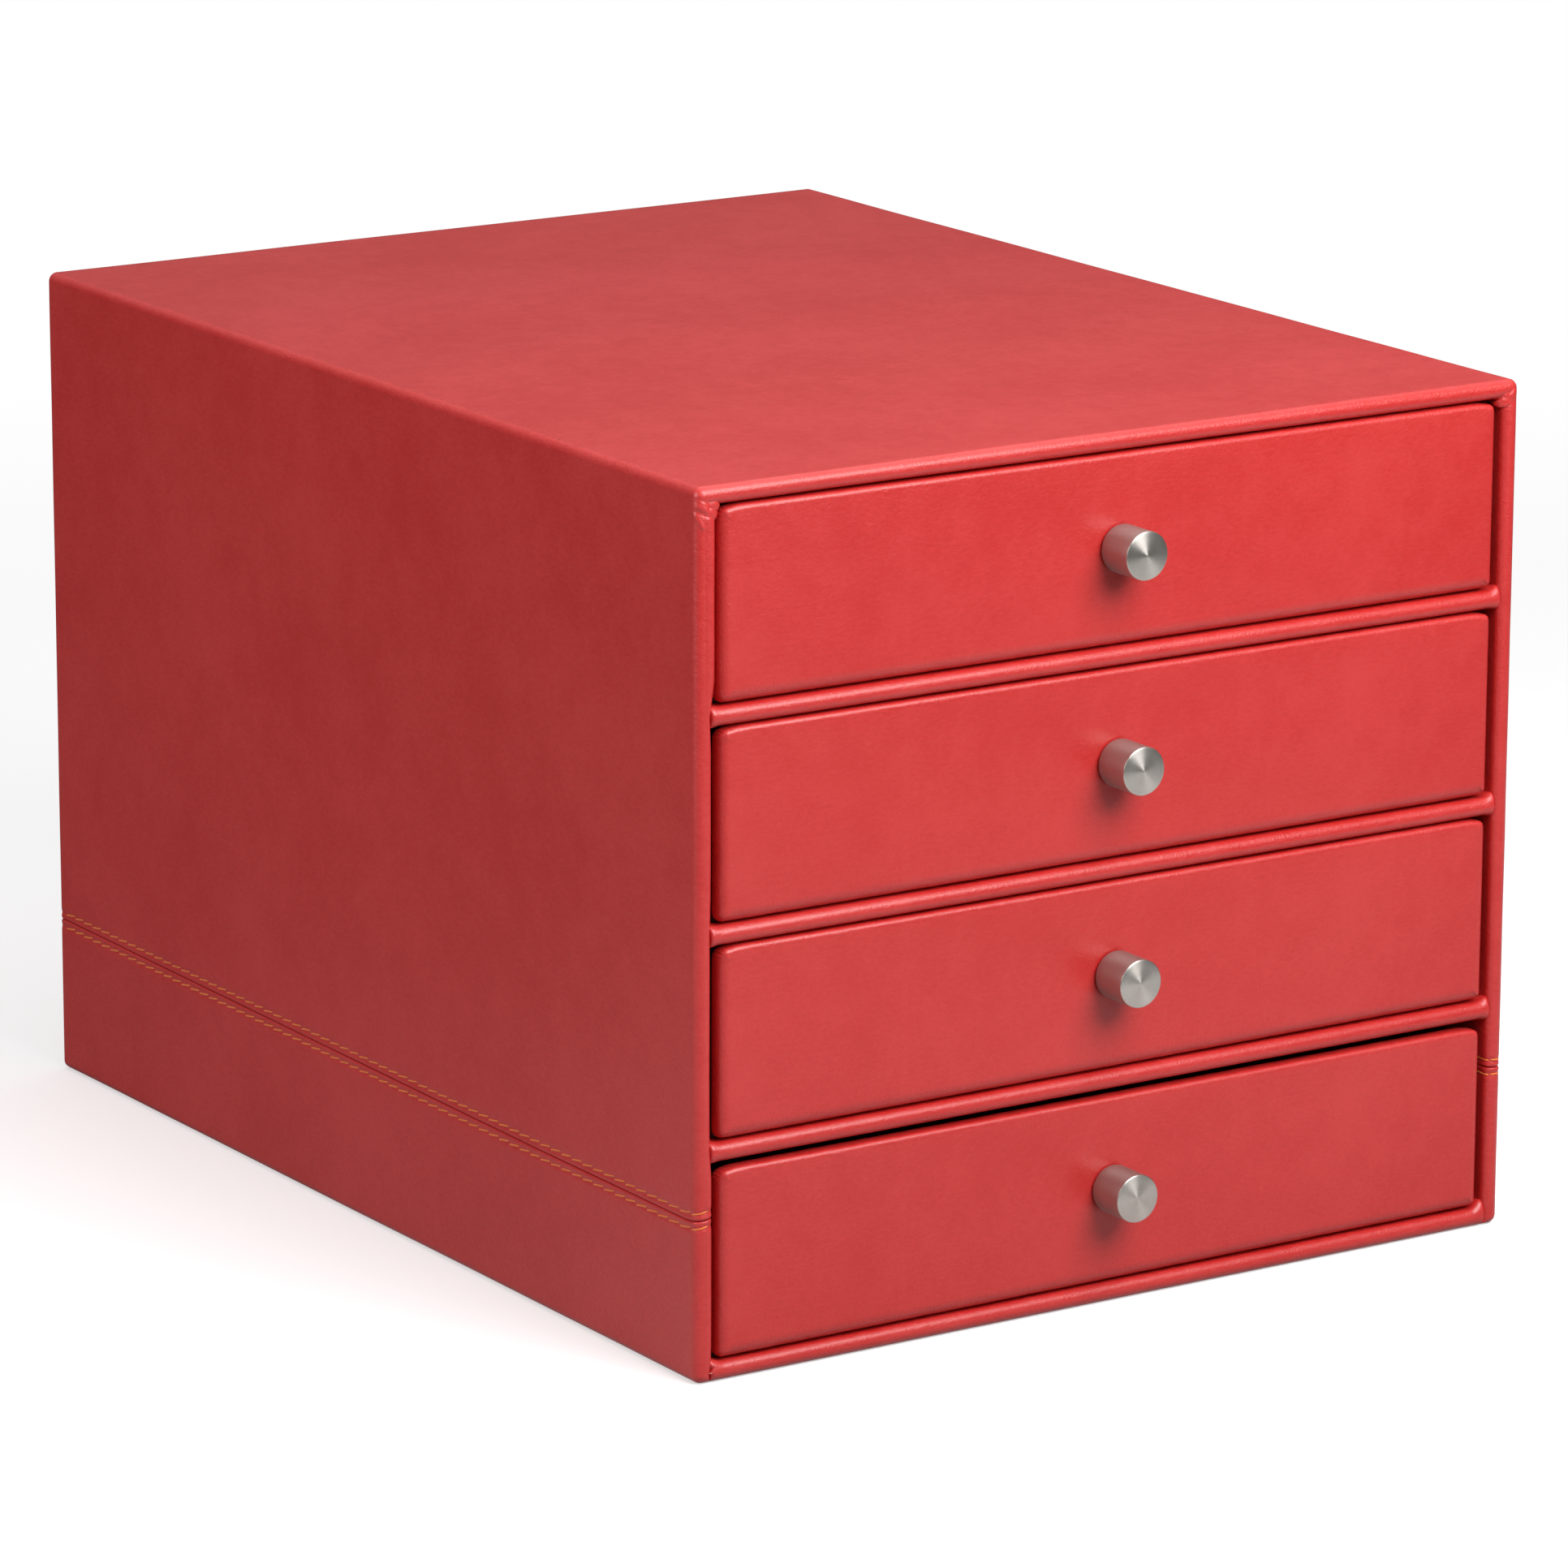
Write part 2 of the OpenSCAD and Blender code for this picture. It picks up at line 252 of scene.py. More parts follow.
# Steps between points: degrees round an edge, and mm along the cover and over the back margin. They
# are shorter within the reach of the folds and of the seam.
ARC_STEP = 5
LINE_STEP = STITCH_PITCH / 2
MARGIN_STEP = 1.6
FOLD_REACH = 8
SEAM_REACH = 7.5
SEAM_STEPS = (0, 0.04, 0.1, 0.18, 0.28, 0.42, 0.55, 0.7, 0.85, 1.0, 1.1, 1.2, 1.3, 1.4, 1.55, 1.75,
              2.0, 2.4, 3.0, 4.0, 5.5)


def steps(start, end, size):
    """Even steps from start to end, of about that size, without the end."""
    count = max(1, round(abs(end - start) / size))
    return list(np.linspace(start, end, count, endpoint=False))


def nose_facings():
    """How a half-round front edge faces, in r and d, from its inner or lower side round to the other."""
    return [(-math.cos(turn), -math.sin(turn)) for turn in np.radians(steps(0, 180, ARC_STEP))]


def cover_line(inner_end):
    """The cover's line round a panel: rows of r, d, how it faces in r and d, and its length from the
    middle of the front edge. r runs outwards from the panel's middle, d back from the front."""
    rows = [(-NOSE, d, -1, 0) for d in steps(inner_end, NOSE, LINE_STEP)]
    for face_r, face_d in nose_facings():
        rows.append((NOSE * face_r, NOSE + NOSE * face_d, face_r, face_d))
    rows += [(NOSE, d, 1, 0) for d in steps(NOSE, BOARD_END, LINE_STEP)]
    for turn in np.radians(steps(0, 90, 3 * ARC_STEP)):
        rows.append((NOSE - SKIN + SKIN * math.cos(turn), BOARD_END + SKIN * math.sin(turn),
                     math.cos(turn), math.sin(turn)))
    rows += [(r, BOARD_END + SKIN, 0, 1) for r in steps(NOSE - SKIN, NOSE - TURN_OVER, MARGIN_STEP)]
    rows.append((NOSE - TURN_OVER, BOARD_END + SKIN, 0, 1))
    line = np.array(rows, float)
    length = np.concatenate([[0], np.cumsum(np.hypot(*np.diff(line[:, :2], axis=0).T))])
    front = np.argmin(line[:, 1])
    return np.column_stack([line, length - length[front]])


def lay(way, line, sink):
    """Points and normals of a line swept along a way, sunk by some depth. Each row of the way is the
    axis's x and z and how it faces. The inner halves meet in mitres."""
    r = line[:, 0] - sink * line[:, 2]
    d = line[:, 1] - sink * line[:, 3]
    inner = np.minimum(r, 0)
    reach_x = np.where(r < 0, SIDE_X + inner, FAR)
    x = np.clip(way[:, :1] + way[:, 2:3] * r, -reach_x, reach_x)
    z = way[:, 1:2] + way[:, 3:4] * r
    z = np.where(r < 0, np.minimum(z, HIGH_Z + inner), z)
    y = np.broadcast_to(FRONT_Y + d, x.shape)
    facing = np.stack([way[:, 2:3] * line[:, 2], np.broadcast_to(line[:, 3], x.shape),
                       way[:, 3:4] * line[:, 2]], -1)
    return np.stack([x, y, z], -1), facing


def lay_leg(side, line, sink):
    """Points and normals of a lower cover, sunk by some depth: down a leg from the seam, round the
    foot's outer and front edges, and across under it to the leg's inner face."""
    high = SEAM_Z - SEAM_GAP / 2
    heights = [high - step for step in SEAM_STEPS] + steps(high - SEAM_REACH, LOW_Z, 3)
    turns = [0] * len(heights) + steps(0, 90, ARC_STEP) + [90]
    height = np.array(heights + [LOW_Z] * (len(turns) - len(heights)))[:, None]
    turn = np.radians(turns)[:, None]
    level = NOSE - sink
    r = line[:, 0] - sink * line[:, 2]
    d = line[:, 1] - sink * line[:, 3]
    tuck = np.where(r >= 0, (1 - np.cos(turn)) * np.clip(NOSE - d, 0, None),
                    np.clip(NOSE - level * np.cos(turn) - d, 0, None))
    z = height - level * np.sin(turn) + 0 * r
    inward = np.where(d > BOARD_END, np.maximum(r, np.minimum(-NOSE, LOW_Z - z)), r)
    x = SIDE_X + np.where(r >= 0, np.cos(turn) * r, inward)
    points = np.stack([side * x, FRONT_Y + d + tuck, z], -1)
    share = np.where(r >= 0, np.cos(turn), np.where(tuck > 0, 0, 1))
    facing = np.stack([side * line[:, 2] * share, np.where(tuck > 0, -np.cos(turn), line[:, 3] * share),
                       np.where((r >= 0) | (tuck > 0), -np.sin(turn), 0)], -1)
    last = points[-1:].copy()
    last[..., 0] = side * INSIDE_X
    return np.concatenate([points, last]), np.concatenate([facing, facing[-1:]])


def waves(points, size_mm, seed):
    """Smooth random swell from -1 to 1 over points in mm, of about that size: a sum of seven waves."""
    draw = np.random.default_rng(seed)
    total = np.zeros(points.shape[:-1])
    for _ in range(7):
        way = draw.normal(size=3)
        way *= 2 * math.pi / size_mm / np.linalg.norm(way) * draw.uniform(0.6, 1.5)
        total += np.sin(points @ way + draw.uniform(0, 2 * math.pi))
    return np.clip(total / 4, -1, 1)


def smooth(value, low, high):
    """0 up to low, 1 from high on, smooth between."""
    share = np.clip((value - low) / (high - low), 0, 1)
    return share * share * (3 - 2 * share)


def bell(value, middle, width):
    """1 at the middle, fading to 0 on both sides over about that width."""
    return np.exp(-((value - middle) / width) ** 2)


def piece(name, points, faces, finish, sharp=38):
    """A welded mesh object from points in mm, with edges sharper than the given angle kept."""
    mesh = bpy.data.meshes.new(name)
    mesh.from_pydata((np.asarray(points) / 1000).tolist(), [], faces)
    made = bmesh.new()
    made.from_mesh(mesh)
    bmesh.ops.remove_doubles(made, verts=made.verts, dist=2e-6)
    bmesh.ops.dissolve_degenerate(made, edges=made.edges, dist=1e-6)
    bmesh.ops.recalc_face_normals(made, faces=made.faces)
    made.to_mesh(mesh)
    made.free()
    mesh.shade_smooth()
    mesh.set_sharp_from_angle(angle=math.radians(sharp))
    mesh.materials.append(finish.material)
    obj = bpy.data.objects.new(name, mesh)
    bpy.context.scene.collection.objects.link(obj)
    return obj


def grid_faces(rows, columns, first=0, closed=False):
    """Quads of a grid of points numbered row by row."""
    start = first + np.arange(rows - 1)[:, None] * columns + np.arange(columns if closed else columns - 1)
    beside = np.where((start - first) % columns == columns - 1, start - columns + 1, start + 1)
    return np.stack([start, beside, beside + columns, start + columns], -1).reshape(-1, 4).tolist()


def skin_piece(name, outer, inner, finish):
    """A closed sheet between two grids of points."""
    rows, columns = outer.shape[:2]
    count = rows * columns
    faces = grid_faces(rows, columns) + grid_faces(rows, columns, count)
    rim = np.arange(count).reshape(rows, columns)
    for edge in (rim[0], rim[-1], rim[:, 0], rim[:, -1]):
        faces += np.stack([edge[:-1], edge[1:], edge[1:] + count, edge[:-1] + count], -1).tolist()
    return piece(name, np.concatenate([outer.reshape(-1, 3), inner.reshape(-1, 3)]), faces, finish)


def ridge(points, path, width):
    """A soft ridge along a path in the front view, 1 on the path and 0 away from it."""
    spot = points[..., [0, 2]]
    nearest = np.full(points.shape[:-1], FAR)
    for start, end in zip(np.array(path[:-1], float), np.array(path[1:], float)):
        run = end - start
        share = np.clip((spot - start) @ run / (run @ run), 0, 1)
        nearest = np.minimum(nearest, np.linalg.norm(spot - start - share[..., None] * run, axis=-1))
    return bell(nearest, 0, width)


def cover_relief(points, line, seed):
    """How far the cover stands out from its nominal face at each point, in mm."""
    x, z = points[..., 0], points[..., 2]
    front = np.clip(-line[:, 3], 0, 1)
    height = -FLAT_SWELL * (1 - front) * (1 + waves(points, 55, seed))
    height -= NOSE_SWELL * front * (1 + waves(points, 13, seed + 1))
    from_seam = np.abs(z - SEAM_Z) - SEAM_GAP / 2
    on_leg = smooth(np.abs(x), LEG_X, LEG_X + 0.5)
    rolled = np.clip(1 - from_seam / ROLL_WIDTH, 0, 1)
    height -= ROLL_DEPTH * (1 - np.sqrt(1 - rolled ** 2)) * on_leg
    hole = 0.5 + 0.5 * np.cos(2 * math.pi * (line[:, 4] - STITCH_HOLE) / STITCH_PITCH)
    height -= (DENT_DEPTH + DENT_DEPTH * hole) * bell(from_seam, ROW_INSET, DENT_WIDTH) * on_leg
    loose = np.clip(-line[:, 2], 0, 1) * (1 - smooth(line[:, 1], *LOOSE_TO)) * (x < 0)
    for low, high, swell in LEFT_SWELL:
        height += swell * loose * smooth(z, low, low + 1.5) * (1 - smooth(z, high - 2.5, high - 0.5))
    for path, width, rise in FOLDS:
        height += rise * ridge(points, path, width) * front ** 0.5
    return height


def seam_rise(x, y):
    """How much higher the seam runs than its nominal height."""
    left = np.interp(y - FRONT_Y, *zip(*SEAM_CLIMB)) + NOSE_CLIMB * smooth(x, *NOSE_SPAN)
    return np.where(x < 0, left, RIGHT_CLIMB)


def settle_seam(points):
    """Works the two sheets' edges closer to each other over the tape, and lets the seam climb."""
    over = points[..., 2] - SEAM_Z
    out_x = np.abs(points[..., 0])
    near = (1 - smooth(np.abs(over), SEAM_GAP / 2, PULL_REACH)) * (out_x > LEG_X)
    around = (1 - smooth(np.abs(over), PULL_REACH, CLIMB_REACH)) * (out_x > LEG_X - 10)
    points[..., 2] += around * seam_rise(points[..., 0], points[..., 1]) - np.sign(over) * SEAM_PULL * near
    return points


def corner(centre_x, centre_z, start, end):
    """The way round a corner, between two directions in degrees."""
    turns = np.radians(steps(start, end, 3))
    return [(centre_x, centre_z, math.cos(turn), math.sin(turn)) for turn in turns]


def along(start, end, size, fixed, facing):
    """A straight stretch: up or down a leg at x = fixed, or across at z = fixed."""
    if facing[0]:
        return [(fixed, z, *facing) for z in steps(start, end, size)]
    return [(x, fixed, *facing) for x in steps(start, end, size)]


def upper_way():
    """Up the left side, across the top and down the right side, with short steps near the seam and in
    reach of the folds."""
    low = SEAM_Z + SEAM_GAP / 2
    fold_z = HIGH_Z - FOLD_REACH
    fold_x = -SIDE_X + FOLD_REACH - 1
    half = [(-SIDE_X, low + step, -1, 0) for step in SEAM_STEPS]
    half += along(low + SEAM_REACH, fold_z, 7, -SIDE_X, (-1, 0))
    half += along(fold_z, HIGH_Z, 0.22, -SIDE_X, (-1, 0))
    half += corner(-SIDE_X, HIGH_Z, 180, 90)
    half += along(-SIDE_X, fold_x, 0.25, HIGH_Z, (0, 1))
    half += along(fold_x, 0, 6, HIGH_Z, (0, 1))
    half = np.array(half, float)
    other = half[::-1] * (-1, 1, -1, 1)
    return np.concatenate([half, [(0, HIGH_Z, 0, 1)], other])


leatherette = Finish("leatherette", {
    "Specular IOR Level": 0.6,
    "Coat Weight": 0.45,
    "Coat Roughness": 0.24,
})
cloud = leatherette.noise(38, 3)
patch = leatherette.noise(7, 3)
grain = leatherette.node(
    "ShaderNodeTexVoronoi", {"feature": "SMOOTH_F1"},
    {"Vector": leatherette.place(), "Scale": 1900, "Smoothness": 0.6},
)
fine = leatherette.noise(0.28, 2)
streak = leatherette.noise(1.3, 4, (0.7, 0.7, 1.7), 0.75)
leatherette.dress({
    "Base Color": leatherette.tint(
        leatherette.ramp(cloud * 0.35 + patch * 0.2 + streak * 0.45, 0.35, 0.65),
        leatherette.tint(fine, (0.585, 0.015, 0.013, 1), (0.635, 0.021, 0.019, 1)),
        leatherette.tint(fine, (0.665, 0.034, 0.031, 1), (0.715, 0.043, 0.040, 1)),
    ),
    "Roughness": 0.37 + patch * 0.08,
    "Normal": leatherette.relief(grain * 0.4 + streak * 0.6, 0.18, 0.8),
})

case_line = cover_line(TURN_IN)
laid = {
    "upper_cover": [lay(upper_way(), case_line, sink) for sink in (0, SKIN)],
    "left_lower_cover": [lay_leg(-1, case_line, sink) for sink in (0, SKIN)],
    "right_lower_cover": [lay_leg(1, case_line, sink) for sink in (0, SKIN)],
}
for count, (name, ((face, facing), (back, _))) in enumerate(laid.items()):
    height = cover_relief(face, case_line, 1 + 4 * count)
    face = np.clip(face + facing * height[..., None], BOX_LOW, BOX_HIGH)
    sheet = skin_piece(f"{name}_skin", settle_seam(face), settle_seam(back), leatherette)
    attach(sheet, "chest")
    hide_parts(name)

# Each pleat's path, half widths along it, lift, and a point that it rises away from. Its foot is sunk
# in the cover.
PLEATS = (
    (((-99.9, -130.0, 177.3), (-98.7, -131.7, 176.8), (-97.1, -132.2, 175.9), (-95.4, -131.7, 175.0),
      (-94.9, -129.5, 174.8)), (0.9, 1.1, 1.15, 1.1, 0.9), 0.28, (-97.5, -129.9, 176.0)),
    (((-99.2, -130.6, 179.3), (-97.6, -131.7, 178.4), (-96.2, -132.1, 177.4), (-94.8, -131.6, 176.5),
      (-94.3, -129.4, 176.2)), (0.9, 1.05, 1.05, 0.95, 0.8), 0.22, (-96.9, -129.9, 177.7)),
    (((99.7, -130.4, 178.1), (98.7, -131.6, 177.6), (97.3, -132.2, 176.9), (95.6, -131.6, 176.2),
      (94.9, -129.5, 176.1)), (0.7, 0.95, 1.0, 0.9, 0.7), 0.17, (98.0, -130.4, 176.9)),
    (((98.8, -130.8, 179.4), (98.0, -131.8, 178.8), (96.9, -132.2, 178.1), (95.6, -131.5, 177.3),
      (95.0, -129.6, 177.0)), (0.6, 0.85, 0.85, 0.75, 0.6), 0.14, (97.6, -130.4, 178.3)),
)
PLEAT_SINK = 0.5
PLEAT_RINGS = 33


def unit(vectors):
    """The vectors at a length of 1."""
    return vectors / np.linalg.norm(vectors, axis=-1)[..., None]


def pleat(path, half_width, lift, below):
    """Points of a pleat: a rounded fold of leather along a path, with its ends worked into the cover."""
    path = np.array(path, float)
    share = np.linspace(0, 1, PLEAT_RINGS)
    knots = np.linspace(0, 1, len(path))
    bends = [np.polyfit(knots, path[:, axis], len(path) - 1) for axis in range(3)]
    middle = np.stack([np.polyval(bend, share) for bend in bends], -1)
    run = unit(np.gradient(middle, axis=0))
    out = middle - np.array(below)
    out = unit(out - (out * run).sum(1)[:, None] * run)
    across = np.cross(run, out)
    full = smooth(share, -0.02, 0.6) * np.sqrt(np.clip(1 - share ** 8, 1e-4, 1))
    wide = np.interp(share, np.linspace(0, 1, len(half_width)), half_width) * full
    turns = np.radians(np.arange(0, 360, 10))
    thick = np.where(np.sin(turns) > 0, lift, PLEAT_SINK)
    return (middle[:, None] + wide[:, None, None] * np.cos(turns)[None, :, None] * across[:, None]
            + (thick * np.sin(turns))[None, :, None] * full[:, None, None] * out[:, None])


def add_tube(points, faces, tube):
    """Adds rings of points, closed at both ends, to a mesh's points and faces."""
    rings, sides = tube.shape[:2]
    first = len(points)
    last = first + (rings - 1) * sides
    points += tube.reshape(-1, 3).tolist()
    faces += grid_faces(rings, sides, first, closed=True)
    faces.append(list(range(first, first + sides)))
    faces.append(list(range(last, last + sides)))


points = []
faces = []
for row in PLEATS:
    add_tube(points, faces, np.clip(pleat(*row), BOX_LOW, BOX_HIGH))
pleats = piece("top_corner_pleats", points, faces, leatherette, 60)
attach(pleats, "chest")

# ---- Seam tape and topstitching ----
# A woven tape bridges the groove between the two sheets, and both edges are sewn down through it with
# golden thread: two rows of slanting 4 mm stitches, 3 mm apart, round the side and its front edge.

seam_tape = Finish("seam_tape", {"Roughness": 0.8, "Specular IOR Level": 0.25})
warp = seam_tape.node("ShaderNodeTexWave", {"bands_direction": "Y"},
                      {"Vector": seam_tape.place(), "Scale": 700, "Distortion": 0.4})
weft = seam_tape.node("ShaderNodeTexWave", {"bands_direction": "Z"},
                      {"Vector": seam_tape.place(), "Scale": 560, "Distortion": 0.4})
seam_tape.dress({
    "Base Color": seam_tape.tint(warp * weft, (0.34, 0.010, 0.012, 1), (0.46, 0.018, 0.020, 1)),
    "Normal": seam_tape.relief(warp * weft, 0.05),
})
seam_tape.coat("left_seam_tape", "right_seam_tape")

# The thread, how deep it lies in the leather and in the holes, and its three plies' relief and lay
THREAD_R = 0.21
THREAD_SINK = 0.03
THREAD_DIVE = 0.32
PLY_RELIEF = 0.1
PLY_LENGTH = 2.2
STITCH_SIDES = 9
STITCH_RINGS = 15

# How far a stitch slants, and the right side's share of that; its bend, and how uneven the rows are
SLANT = (0.5, 0.6)
RIGHT_SLANT = 0.2
SLANT_BEND = 0.35
UNEVEN = 0.03

# The holes, numbered from the front edge, how far a row stays from the cover's ends, and how much
# longer the stitch round the front edge is, with the stretch of line that this moves
HOLE_NUMBERS = range(-5, 66)
ROW_MARGINS = (1.6, 0.8)
NOSE_STRETCH = 1.0
STRETCH_SPAN = (-1, 5)


def on_line(line, lengths):
    """r, d and facing at some lengths along a cover's line."""
    rows = [np.interp(lengths, line[:, 4], line[:, column]) for column in range(4)]
    scale = np.hypot(rows[2], rows[3])
    return rows[0], rows[1], rows[2] / scale, rows[3] / scale


def stitch(side, row_z, start, end, draw):
    """Points of one stitch from hole to hole, back to front: three twisted plies, sunk at both ends."""
    share = np.linspace(0, 1, STITCH_RINGS)
    lengths = start + (end - start) * (0.01 + 0.98 * share)
    r, d, face_r, face_d = on_line(case_line, lengths)
    from_middle = np.abs(2 * share - 1)
    lift = -THREAD_R - THREAD_SINK - THREAD_DIVE * from_middle ** 12
    slant = draw.uniform(*SLANT) * (1 if side < 0 else RIGHT_SLANT)
    run = share - 0.5
    z = row_z + slant * (run + SLANT_BEND * run ** 2 * np.sign(run))
    z = z + draw.uniform(-UNEVEN, UNEVEN)
    x = side * (SIDE_X + r + lift * face_r)
    y = FRONT_Y + d + lift * face_d
    middle = np.stack([x, y, z + seam_rise(x, y)], -1)
    out = np.stack([side * face_r, face_d, np.zeros_like(z)], -1)
    run = unit(np.gradient(middle, axis=0))
    across = unit(np.cross(run, out))
    out = np.cross(across, run)
    turns = 2 * math.pi * np.arange(STITCH_SIDES) / STITCH_SIDES
    twist = 2 * math.pi * share * (end - start) / PLY_LENGTH
    thick = THREAD_R * (1 + PLY_RELIEF * np.cos(3 * turns[None] + 3 * twist[:, None]))
    thick *= (1 - 0.55 * from_middle ** 14)[:, None]
    return (middle[:, None] + thick[..., None] * (
        np.cos(turns)[None, :, None] * out[:, None] + np.sin(turns)[None, :, None] * across[:, None]))


thread = Finish("golden_thread", {
    "Specular IOR Level": 0.4,
    "Roughness": 0.45,
    "Sheen Weight": 0.25,
    "Sheen Roughness": 0.4,
})
strand = thread.noise(0.12, 2, (1, 0.25, 1))
thread.dress({
    "Base Color": thread.tint(strand, (0.80, 0.158, 0.029, 1), (1.0, 0.29, 0.066, 1)),
    "Normal": thread.relief(strand, 0.03),
})

holes = STITCH_HOLE + STITCH_PITCH * np.array(HOLE_NUMBERS)
holes = holes[(holes > case_line[0, 4] + ROW_MARGINS[0]) & (holes < BOARD_END + ROW_MARGINS[1])]
holes = holes - NOSE_STRETCH * (1 - smooth(holes, *STRETCH_SPAN))
for side, name in ((-1, "left_topstitching"), (1, "right_topstitching")):
    draw = np.random.default_rng(21 + side)
    points = []
    faces = []
    for row in (1, -1):
        row_z = SEAM_Z + row * (SEAM_GAP / 2 + ROW_INSET)
        for front, back in zip(holes[:-1], holes[1:]):
            add_tube(points, faces, stitch(side, row_z, back, front, draw))
    sewn = piece(name, points, faces, thread, 80)
    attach(sewn, "chest")

# ---- Shelf wraps and base wrap ----
# Each shelf and the base have their own strip of leatherette round a half-round front edge. Its ends
# are pushed up against the sides, where the leather flares a little. The base wrap's left end is slit,
# and a fibre of its backing sticks out there.

WRAP_STEP = 6
END_STEPS = (-0.25, -0.2, -0.12, 0, 0.06, 0.14, 0.24, 0.36, 0.5, 0.65, 0.8, 1.0, 1.2, 1.45, 1.7,
             2.0, 2.4, 2.9, 3.6, 5.0)

# How far the ends flare up at the left and the right, and over what reach, how far a shelf's sag, and
# between which depths behind the front this fades
SHELF_FLARE = (0.2, 0.8)
SHELF_REACH = 2.4
SHELF_SAG = 0.3
SAG_REACH = 2.2
BASE_FLARE = (0.6, 1.5)
BASE_REACH = 3.2
FLARE_FADE = (2.5, 9)

# A soft swell near all ends, how far they are tucked back, and the slit in the base wrap
END_SWELL = 0.05
END_TUCK = 0.1
TUCK_WIDTH = 0.18
SLIT_Z = 2.8
SLIT_DEPTH = 0.6
FIBRE_R = 0.07
FIBRE_PATH = ((-95.9, -132.0, 2.35), (-96.5, -132.5, 2.2), (-97.1, -132.5, 2.3))


def wrap_line(inner_end):
    """A shelf's section: r upwards and d back, from the back of the underside to the back of the top."""
    rows = [(0.0, d, -1, 0) for d in steps(inner_end, NOSE, WRAP_STEP)]
    for face_r, face_d in nose_facings():
        rows.append((NOSE + NOSE * face_r, NOSE + NOSE * face_d, face_r, face_d))
    rows += [(PANEL, d, 1, 0) for d in steps(NOSE, inner_end, WRAP_STEP)]
    rows.append((PANEL, inner_end, 1, 0))
    return np.array(rows, float)


def across_way(half_width, z, facing):
    """Across the chest from left to right, with short steps near both ends."""
    half = [-half_width + step for step in END_STEPS] + steps(-half_width + 7, 0, 5)
    xs = half + [0] + [-x for x in half[::-1]]
    return np.array([(x, z, 0, facing) for x in xs], float)


def flare_ends(face, facing, line, half_width, rise, reach, sag, seed):
    """Lets the wrap's ends swell into the corners, upwards by the left and the right rise over some
    reach, and downwards by the sag."""
    from_end = half_width - np.abs(face[..., 0])
    up = np.where(face[..., 0] > 0, rise[1], rise[0]) * (1 - smooth(from_end, 0, reach)) ** 1.4
    up = up + END_SWELL * (1 - smooth(from_end, 0.8, 3))
    down = sag * (1 - smooth(from_end, 0, SAG_REACH))
    moved = np.clip(facing[..., 2], 0, 1) * up - np.clip(-facing[..., 2], 0, 1) * down
    out = face.copy()
    out[..., 2] += moved * (1 - smooth(line[:, 1], *FLARE_FADE))
    front = np.clip(-line[:, 3], 0, 1)
    height = -NOSE_SWELL * front * (1 + waves(face, 11, seed)) - 0.02 * (1 - front)
    height = height - END_TUCK * front * np.exp(-from_end / TUCK_WIDTH)
    return out + facing * height[..., None]


def close_ends(back, line, half_width, middle_z):
    """Draws the inner side of a wrap's ends together in front, so that they cover the board's end."""
    over = np.where(line[:, 1] < 30, 1 - smooth(half_width - np.abs(back[..., 0]), -0.13, -0.02), 0)
    middle_y = FRONT_Y + np.maximum(line[:, 1], NOSE)
    back[..., 1] += over * (middle_y - back[..., 1])
    back[..., 2] += over * (middle_z - back[..., 2])
    return back


shelf_line = wrap_line(INSIDE_END)
for n in SHELVES:
    low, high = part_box(f"shelf_wrap_{n}")
    base_z = low.z * 1000
    half_width = high.x * 1000
    way = across_way(half_width, base_z, 1)
    face, facing = lay(way, shelf_line, 0)
    face = flare_ends(face, facing, shelf_line, half_width, SHELF_FLARE, SHELF_REACH, SHELF_SAG, 30 + n)
    back = close_ends(lay(way, shelf_line, SKIN)[0], shelf_line, half_width, base_z + NOSE)
    wrap = skin_piece(f"shelf_wrap_{n}_skin", face, back, leatherette)
    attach(wrap, "chest")
    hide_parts(f"shelf_wrap_{n}")

base_line = cover_line(INSIDE_END)
way = across_way(INSIDE_X, LOW_Z, -1)
face, facing = lay(way, base_line, 0)
slit = bell(face[..., 2], SLIT_Z, 0.3) * bell(face[..., 0], -INSIDE_X, 0.5)
face = flare_ends(face, facing, base_line, INSIDE_X, BASE_FLARE, BASE_REACH, 0.0, 40)
face[..., 0] += SLIT_DEPTH * slit * (base_line[:, 1] < NOSE)
back = close_ends(lay(way, base_line, SKIN)[0], base_line, INSIDE_X, LOW_Z)
wrap = skin_piece("base_wrap_skin", face, back, leatherette)
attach(wrap, "chest")
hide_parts("base_wrap")

backing = Finish("backing_fibre", {"Roughness": 0.8})
dust = backing.noise(0.05, 2)
backing.dress({
    "Base Color": backing.tint(dust, (0.72, 0.28, 0.25, 1), (0.80, 0.38, 0.34, 1)),
    "Normal": backing.relief(dust, 0.02),
})
hair = bpy.data.curves.new("backing_fibre", "CURVE")
hair.dimensions = "3D"
hair.bevel_depth = FIBRE_R / 1000
hair.bevel_resolution = 2
hair.use_fill_caps = True
spline = hair.splines.new("BEZIER")
spline.bezier_points.add(len(FIBRE_PATH) - 1)
for point, spot in zip(spline.bezier_points, FIBRE_PATH):
    point.co = Vector(spot) / 1000
    point.handle_left_type = "AUTO"
    point.handle_right_type = "AUTO"
hair.materials.append(backing.material)
fibre = bpy.data.objects.new("backing_fibre", hair)
bpy.context.scene.collection.objects.link(fibre)
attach(fibre, "chest")

# ---- Drawer fronts ----
# A 2.5 mm greyboard with leatherette drawn over its rounded edges and turned over the back. The
# leather bunches slightly at the corners, swells along the top and is pressed in under the knob.

DRAWERS = (1, 2, 3, 4)
FRONT_T = 3.9
FRONT_TURN_IN = 10.0
CORNER_R = 1.9
KNOB_RISE = 0.7

# The edge's radius, its share along the top and the bottom, and where the flat face starts
EDGE_R = 2.2
TOP_SHARE = 0.5
BOTTOM_SHARE = 1.45
FACE_INSET = 3.6

# Faces across, up and round each corner
FRONT_COUNTS = (104, 20, 12)

